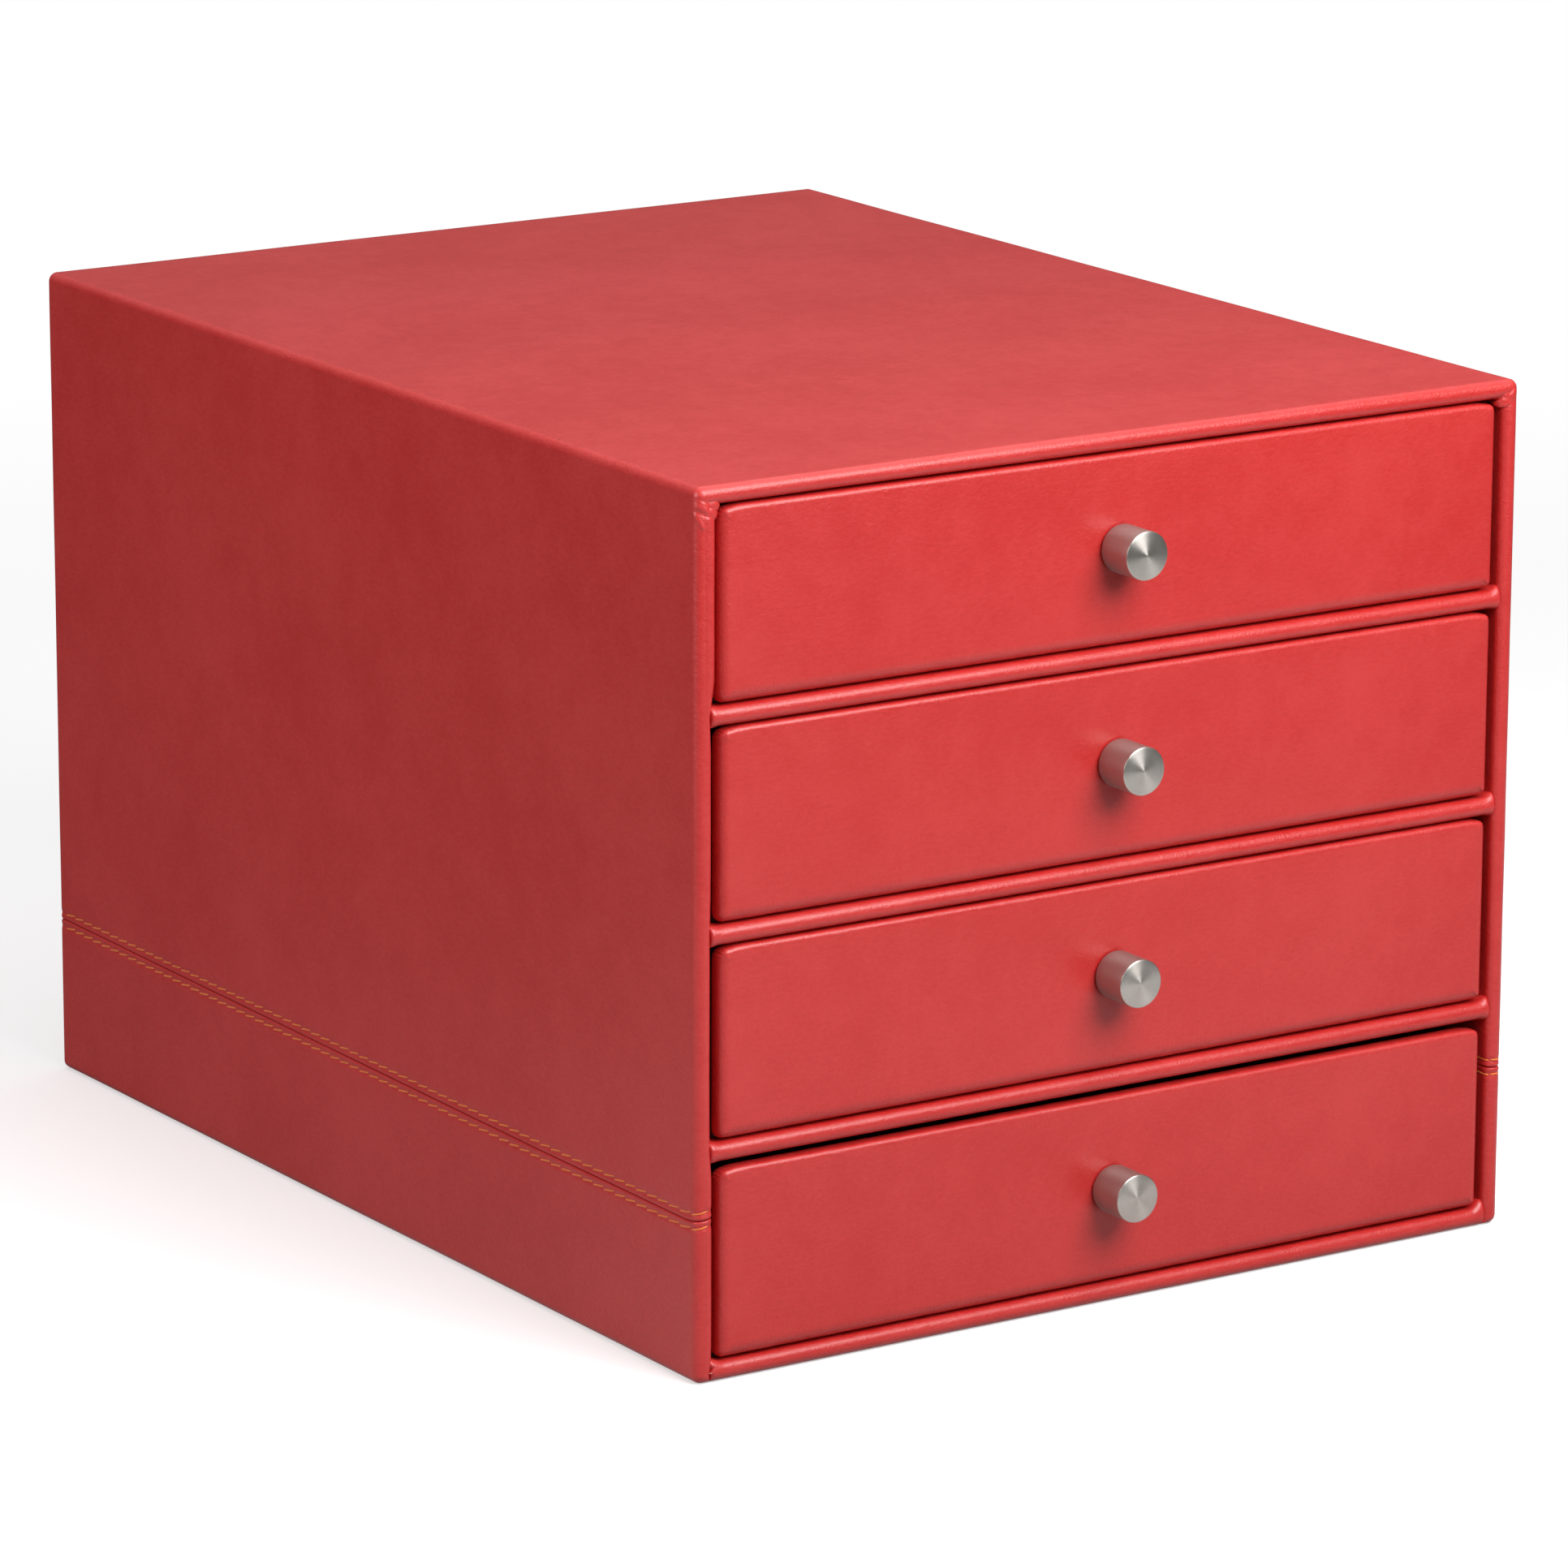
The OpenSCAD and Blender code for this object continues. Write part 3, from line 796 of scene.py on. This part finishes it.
# How far the leather waves and ripples on the face and the edge, gathers at a corner, swells along
# the top, and is pressed in round the knob within some radius
FRONT_WAVE = 0.05
FRONT_RIPPLE = 0.018
EDGE_RIPPLE = 0.03
GATHER = 0.11
TOP_SWELL = 0.4
PRESS = 0.28
PRESS_R = 4.6

greyboard.coat(*[f"front_board_{n}" for n in DRAWERS])


def ring_way(across, up, round_corner):
    """The way round a rectangle with round corners, from the bottom right: rows of the corner centre's
    share in x and z, and how the edge faces."""
    rows = []
    for turn, count in ((-90, up), (0, across), (90, up), (180, across)):
        start, end = math.radians(turn), math.radians(turn + 90)
        centre = (round(math.cos(start) - math.sin(start)), round(math.sin(start) + math.cos(start)))
        for angle in np.radians(steps(turn, turn + 90, 90 / round_corner)):
            rows.append((*centre, math.cos(angle), math.sin(angle)))
        for run in np.linspace(-1, 1, count, endpoint=False):
            rows.append((math.cos(end) - math.sin(end) * run, math.sin(end) + math.cos(end) * run,
                         math.cos(end), math.sin(end)))
    return np.array(rows)


def loop_points(way, width, height, inset, depth):
    """Points of one loop round a plate. The inset and the depth may differ from point to point."""
    radius = np.clip(CORNER_R - inset, 0, None)
    x = way[:, 0] * (width / 2 - inset - radius) + radius * way[:, 2]
    z = way[:, 1] * (height / 2 - inset - radius) + radius * way[:, 3]
    return np.stack([x, depth + 0 * x, z], -1)


def plate_skin(name, width, height, profile, core, counts, shape, finish, top=1.0, bottom=1.0):
    """A closed cover round a plate. The profile's rows are inset and depth from the edge of the back
    opening to the face, the core's the same way back, and shape moves the outer points. The edge's
    radius is multiplied by top along the top and by bottom along the bottom."""
    across, up, _ = counts
    way = ring_way(*counts)
    share = 1 + (top - 1) * np.clip(way[:, 3], 0, 1) ** 2 + (bottom - 1) * np.clip(-way[:, 3], 0, 1) ** 2
    outer = []
    for inset, depth in profile:
        scale = share if depth <= EDGE_R and inset <= EDGE_R else 1
        outer.append(loop_points(way, width, height, inset * scale, depth * scale))
    outer = shape(np.array(outer))
    inner = np.array([loop_points(way, width, height, inset, depth) for inset, depth in core])
    all_loops = np.concatenate([outer, inner])
    count = len(profile)
    ring_size = all_loops.shape[1]
    faces = grid_faces(count, ring_size, 0, closed=True)
    faces += grid_faces(len(core), ring_size, count * ring_size, closed=True)
    rim = np.arange(ring_size)
    beside = np.roll(rim, -1)
    last_core = (count + len(core) - 1) * ring_size
    faces += np.stack([rim, beside, beside + last_core, rim + last_core], -1).tolist()
    points = all_loops.reshape(-1, 3).tolist()
    for (inset, depth), moved in ((profile[-1], True), (core[0], False)):
        xs = np.linspace(-(width / 2 - inset), width / 2 - inset, across + 1)
        zs = np.linspace(-(height / 2 - inset), height / 2 - inset, up + 1)
        grid = np.stack(np.broadcast_arrays(xs[None], depth, zs[:, None]), -1).astype(float)
        grid = shape(grid) if moved else grid
        faces += grid_faces(up + 1, across + 1, len(points))
        points += grid.reshape(-1, 3).tolist()
    return piece(name, points, faces, finish)


def rounded_edge(inset, radius, back, sides, face_inset):
    """Inset and depth from a plate's back edge round its front edge."""
    rows = [(inset, depth) for depth in steps(back, radius + inset, 0.5)]
    for turn in np.radians(steps(0, 90, 90 / sides)):
        rows.append((inset + radius - radius * math.cos(turn), inset + radius - radius * math.sin(turn)))
    rows.append((inset + radius, inset))
    rows.append((face_inset, inset))
    return rows


def front_shape(width, height, seed):
    """What moves the points of a drawer front's cover: pressed under the knob, gathered at the corners
    and swollen along the top."""
    def shape(points):
        x, depth, z = points[..., 0], points[..., 1], points[..., 2]
        from_side = width / 2 - np.abs(x)
        from_end = height / 2 - np.abs(z)
        in_face = 1 - smooth(depth, 0, 1.4)
        press = FRONT_WAVE * (1 + waves(points, 34, seed))
        press = press + FRONT_RIPPLE * (1 + waves(points, 9, seed + 1))
        away = np.hypot(x, z - KNOB_RISE)
        press = press + PRESS * bell(np.clip(away, PRESS_R, None), PRESS_R, 1.3)
        rim = EDGE_RIPPLE * (1 + waves(points, 6.5, seed + 2)) * (1 - in_face)
        corner_x = CORNER_R - from_side
        corner_z = CORNER_R - from_end
        turn = np.arctan2(np.clip(corner_z, 1e-6, None), np.clip(corner_x, 1e-6, None))
        at_corner = smooth(corner_x, -0.6, 0.6) * smooth(corner_z, -0.6, 0.6)
        gather = GATHER * at_corner * (0.5 + 0.5 * np.cos(turn * 14 + seed)) * smooth(depth, 0.05, 1.6)
        inward = (rim + gather) * smooth(2.6 - np.minimum(from_side, from_end), 0, 2.5)
        inward *= depth < FRONT_T - 0.05
        out = points.copy()
        out[..., 1] = depth + press * in_face * (depth < 1.5)
        out[..., 0] = x - np.sign(x) * inward * (from_side < 2.7)
        out[..., 2] = z - np.sign(z) * inward * (from_end < 2.7)
        out[..., 2] += TOP_SWELL * smooth(z, height / 2 - 4, height / 2) * smooth(from_side, 1, 5)
        return out
    return shape


# The cover's outline from the turned-in margin round to the face, and back along its inner side
front_profile = [(FRONT_TURN_IN, FRONT_T), (6.0, FRONT_T), (2.4, FRONT_T), (0.9, FRONT_T),
                 (0.42, FRONT_T - 0.04), (0.14, FRONT_T - 0.2), (0.02, FRONT_T - 0.5)]
front_profile += rounded_edge(0.0, EDGE_R, FRONT_T - 0.8, 12, FACE_INSET)[1:]
front_core = rounded_edge(SKIN, EDGE_R - SKIN, FRONT_T - SKIN, 6, FACE_INSET)[::-1]
front_core += [(6.0, FRONT_T - SKIN), (FRONT_TURN_IN, FRONT_T - SKIN)]
for n in DRAWERS:
    low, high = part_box(f"front_cover_{n}")
    width = (high.x - low.x) * 1000
    height = (high.z - low.z) * 1000
    cover = plate_skin(f"front_cover_{n}_skin", width, height, front_profile, front_core, FRONT_COUNTS,
                       front_shape(width, height, 50 + 10 * n), leatherette, TOP_SHARE, BOTTOM_SHARE)
    cover.location = (0, low.y, (low.z + high.z) / 2)
    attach(cover, f"drawer_{n}")
    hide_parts(f"front_cover_{n}")

# ---- Back panel ----
# A sheet of the same leatherette, glued over the turned-over edges and into the opening that they
# leave, with a bare margin all round.

BACK_MARGIN = 4.0
BACK_W = CHEST_W - 2 * BACK_MARGIN
BACK_H = CHEST_H - 2 * BACK_MARGIN
BACK_LAP = TURN_OVER - BACK_MARGIN
BACK_COUNTS = (36, 32, 6)
BACK_STEP = 0.07
BACK_SWELL = 0.04


def back_shape(points):
    """The panel swells gently, and the edge of the opening under it shows as a faint step."""
    x, depth, z = points[..., 0], points[..., 1], points[..., 2]
    inside = np.minimum(BACK_W / 2 - np.abs(x), BACK_H / 2 - np.abs(z)) - BACK_LAP
    step = BACK_STEP * smooth(inside, -0.6, 1.2)
    out = points.copy()
    out[..., 1] = depth + (step + BACK_SWELL * (1 + waves(points, 48, 91))) * (depth < 0.1)
    return out


back_profile = [(BACK_LAP, 2 * SKIN), (BACK_LAP, SKIN), (0.05, SKIN), (0.0, SKIN - 0.08), (0.0, 0.45),
                (0.05, 0.24), (0.18, 0.08), (0.4, 0.0), (2.8, 0.0), (6.8, 0.0), (7.8, 0.0), (8.8, 0.0),
                (12.0, 0.0)]
back_core = [(12.0, 2 * SKIN), (BACK_LAP + 0.01, 2 * SKIN)]
panel = plate_skin("back_panel_skin", BACK_W, BACK_H, back_profile, back_core, BACK_COUNTS, back_shape,
                   leatherette)
panel.matrix_world = (Matrix.Translation((0, -FRONT_Y / 1000, CHEST_H / 2000))
                      @ Matrix.Rotation(math.pi, 4, "Z"))
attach(panel, "chest")
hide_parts("back_cover")

# ---- Linings and drawer boxes ----
# Black paper lines the case behind the turned-in edges and wraps the drawers' 2 mm boards, which
# stand on a glued floor board. The paper rounds the boards' edges.

BOX_PIECES = ("left_wall", "right_wall", "back_wall", "floor_board")
PAPER_EDGE = 0.0003

paper = Finish("black_paper", {"Roughness": 0.72, "Specular IOR Level": 0.35})
pulp = paper.noise(0.6, 3, (1, 0.35, 1))
paper.dress({
    "Base Color": paper.tint(paper.ramp(pulp * 0.6 + paper.noise(14, 2) * 0.4, 0.35, 0.65),
                             (0.022, 0.020, 0.020, 1), (0.038, 0.035, 0.034, 1)),
    "Normal": paper.relief(pulp, 0.03),
})
paper.coat("left_lining", "right_lining", "top_lining")
for n in DRAWERS:
    for name in BOX_PIECES:
        paper.coat(f"{name}_{n}")
        bevel = nodes[f"{name}_{n}"].modifiers.new("paper_edge", "BEVEL")
        bevel.width = PAPER_EDGE
        bevel.segments = 3

# ---- Flocked trays ----
# Each box holds a tray of black flock on thin card: short nylon fibres that stand up and catch the
# light at a low angle.

flock = Finish("black_flock", {
    "Roughness": 1.0,
    "Specular IOR Level": 0.1,
    "Sheen Weight": 0.5,
    "Sheen Roughness": 0.5,
    "Sheen Tint": (0.35, 0.34, 0.36, 1),
})
tuft = flock.noise(0.3, 3)
nap = flock.noise(22, 2)
flock.dress({
    "Base Color": flock.tint(flock.ramp(tuft * 0.6 + nap * 0.4, 0.35, 0.65),
                             (0.016, 0.015, 0.016, 1), (0.040, 0.038, 0.040, 1)),
    "Normal": flock.relief(tuft, 0.12),
})
flock.coat(*[f"drawer_lining_{n}" for n in DRAWERS])

# ---- Knobs and screws ----
# A knob is turned from steel bar, with a chamfer round its face. The face keeps the fine rings of the
# lathe, and the sides are brushed to a satin. A zinc-plated pan-head screw holds it from inside.

KNOB_R = 5.0
KNOB_SIDES = 128
SATIN_TO = 0.0086

# A knob's outline: radius and distance from the drawer front, from its foot to the middle of its face
FOOT = ((0.0, 0.0), (4.55, 0.0), (4.8, 0.05), (4.93, 0.18), (KNOB_R, 0.4))
SHANK = ((KNOB_R, 2.5), (KNOB_R, 4.5), (KNOB_R, 6.5), (KNOB_R, 8.72))
CHAMFER = ((4.99, 8.77), (4.96, 8.81), (4.87, 8.89), (4.83, 8.91), (4.77, 8.92))
FACE = ((4.0, 8.93), (3.0, 8.95), (2.0, 8.965), (1.0, 8.98), (0.4, 8.985), (0.15, 8.98), (0.0, 8.97))
TURNING = FOOT + SHANK + CHAMFER + FACE

steel = Finish("brushed_steel", {"Metallic": 1.0, "Anisotropic": 0.75, "Anisotropic Rotation": 0.25})
spot = steel.place()
spread = steel.node("ShaderNodeVectorMath", {"operation": "MULTIPLY"}, {0: spot, 1: (1, 1, 0)})
radius = steel.node("ShaderNodeVectorMath", {"operation": "LENGTH"}, {0: spread}, "Value")
ring_spot = steel.node("ShaderNodeCombineXYZ", {}, {0: radius, 1: steel.part(spot, 2)})
turned = steel.node("ShaderNodeTexNoise", {}, {"Vector": ring_spot, "Scale": 9000, "Detail": 2.0})
steel.dress({
    "Base Color": steel.tint(turned, (0.52, 0.485, 0.445, 1), (0.66, 0.62, 0.575, 1)),
    "Roughness": 0.34 + turned * 0.08,
    "Normal": steel.relief(turned * 0.006 - radius * 260, 0.6),
})

satin = Finish("satin_steel", {"Metallic": 1.0, "Anisotropic": 0.4, "Anisotropic Rotation": 0.25})
lines = satin.noise(0.5, 2, (1, 1, 12))
satin.dress({
    "Base Color": satin.tint(lines, (0.40, 0.37, 0.34, 1), (0.48, 0.45, 0.42, 1)),
    "Roughness": 0.40 + lines * 0.1,
    "Normal": satin.relief(lines, 0.004, 0.6),
})

zinc = Finish("zinc", {"Metallic": 1.0})
bloom = zinc.noise(1.6, 3)
zinc.dress({
    "Base Color": zinc.tint(bloom, (0.48, 0.48, 0.47, 1), (0.62, 0.62, 0.60, 1)),
    "Roughness": 0.30 + bloom * 0.2,
    "Normal": zinc.relief(zinc.noise(0.3, 2), 0.01),
})
zinc.coat(*[f"knob_screw_{n}" for n in DRAWERS])

turns = 2 * math.pi * np.arange(KNOB_SIDES) / KNOB_SIDES
points = [(r * math.cos(turn), r * math.sin(turn), run) for r, run in TURNING for turn in turns]
faces = grid_faces(len(TURNING), KNOB_SIDES, 0, closed=True)
for n in DRAWERS:
    low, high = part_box(f"knob_{n}")
    knob = piece(f"turned_knob_{n}", points, faces, steel, 25)
    knob.data.materials.append(satin.material)
    for polygon in knob.data.polygons:
        polygon.material_index = 1 if polygon.center.z < SATIN_TO else 0
    knob.matrix_world = (Matrix.Translation((0, high.y, (low.z + high.z) / 2))
                         @ Matrix.Rotation(math.radians(90), 4, "X"))
    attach(knob, f"drawer_{n}")
    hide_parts(f"knob_{n}")

# ---- Floor and light ----
# A white floor runs out into a white surround, which gives more light from above than from the sides.
# Soft lamps stand above the front, over the top and to the left. Mirrored rays see only a share of
# the white, so that the satin leather and the steel keep dark reflections.

WHITE = (1, 1, 1, 1)
FLOOR_REACH = 6
FLOOR_DROP = 0.00005

# Where the lit floor fades into plain white, how much it glows, and the white's share for mirrored rays
FLOOR_FADE = (0.3, 0.9)
FLOOR_GLOW = 0.45
FLOOR_MIRRORED = 0.4

# The surround's light from above, how much less comes from the sides, and its share for mirrored rays
SKY_ABOVE = 0.36
SKY_DIMMING = 0.24
SKY_MIRRORED = 0.04

ground = bpy.data.meshes.new("floor")
corners = [(x * FLOOR_REACH, y * FLOOR_REACH, 0) for x, y in ((-1, -1), (1, -1), (1, 1), (-1, 1))]
ground.from_pydata(corners, [], [(0, 1, 2, 3)])
floor = bpy.data.objects.new("floor", ground)
bpy.context.scene.collection.objects.link(floor)
floor.location.z = -FLOOR_DROP


def ray(tree, kind):
    """1 for rays of a kind and 0 for all others."""
    return tree.node("ShaderNodeLightPath", {}, {}, f"Is {kind} Ray")


paving = Finish("floor_white", {})
ahead = paving.ramp(paving.part(paving.place(), 1), 0.3, -0.3)
reach = paving.node("ShaderNodeVectorMath", {"operation": "LENGTH"}, {0: paving.place()}, "Value")
mirrored = ray(paving, "Glossy") * ahead * paving.ramp(reach, 0.9, 0.4)
direct = ray(paving, "Camera") + mirrored * FLOOR_MIRRORED + ray(paving, "Transmission")
paint = paving.node("ShaderNodeBsdfDiffuse", {}, {"Color": (0.8, 0.8, 0.8, 1)})
glow = paving.node("ShaderNodeEmission", {}, {"Color": WHITE, "Strength": FLOOR_GLOW})
white = paving.node("ShaderNodeEmission", {}, {"Color": WHITE, "Strength": 1.0})
lit = paving.node("ShaderNodeAddShader", {}, {0: paint, 1: glow})
faded = paving.node("ShaderNodeMixShader", {}, {0: paving.ramp(reach, *FLOOR_FADE), 1: lit, 2: white})
dim = paving.node("ShaderNodeBsdfDiffuse", {}, {"Color": (0.2, 0.2, 0.2, 1)})
shown = paving.node("ShaderNodeMixShader", {}, {0: direct, 1: dim, 2: faded})
paving.plug(paving.tree.nodes["Material Output"], {"Surface": shown})
ground.materials.append(paving.material)

world = bpy.data.worlds.new("surround")
bpy.context.scene.world = world
sky = Nodes(world)
up = sky.part(sky.node("ShaderNodeTexCoord", {}, {}, "Generated"), 2)
walls = sky.ramp(up, 0.6, 0.2)
direct = ray(sky, "Camera") + ray(sky, "Transmission") + ray(sky, "Glossy") * (1 - walls) * SKY_MIRRORED
level = direct + (1 - direct) * (SKY_ABOVE - walls * SKY_DIMMING)
shown = sky.node("ShaderNodeBackground", {}, {"Color": WHITE, "Strength": level})
sky.plug(sky.tree.nodes["World Output"], {"Surface": shown})


def lamp(name, at, aim, size, power):
    """A round soft lamp that faces some point."""
    light = bpy.data.lights.new(name, "AREA")
    light.shape = "DISK"
    light.size = size
    light.energy = power
    obj = bpy.data.objects.new(name, light)
    obj.location = at
    obj.rotation_euler = (Vector(aim) - Vector(at)).to_track_quat("-Z", "Y").to_euler()
    bpy.context.scene.collection.objects.link(obj)


lamp("key", (0.09, -0.56, 0.52), (0, -0.10, 0.10), 0.5, 4.35)
lamp("overhead", (0.10, 0.0, 0.70), (0.04, -0.06, 0.17), 0.8, 1.35)
lamp("fill", (-0.85, -0.10, 0.42), (-0.1, 0, 0.09), 0.5, 2.65)

bpy.context.scene.view_settings.view_transform = "Standard"
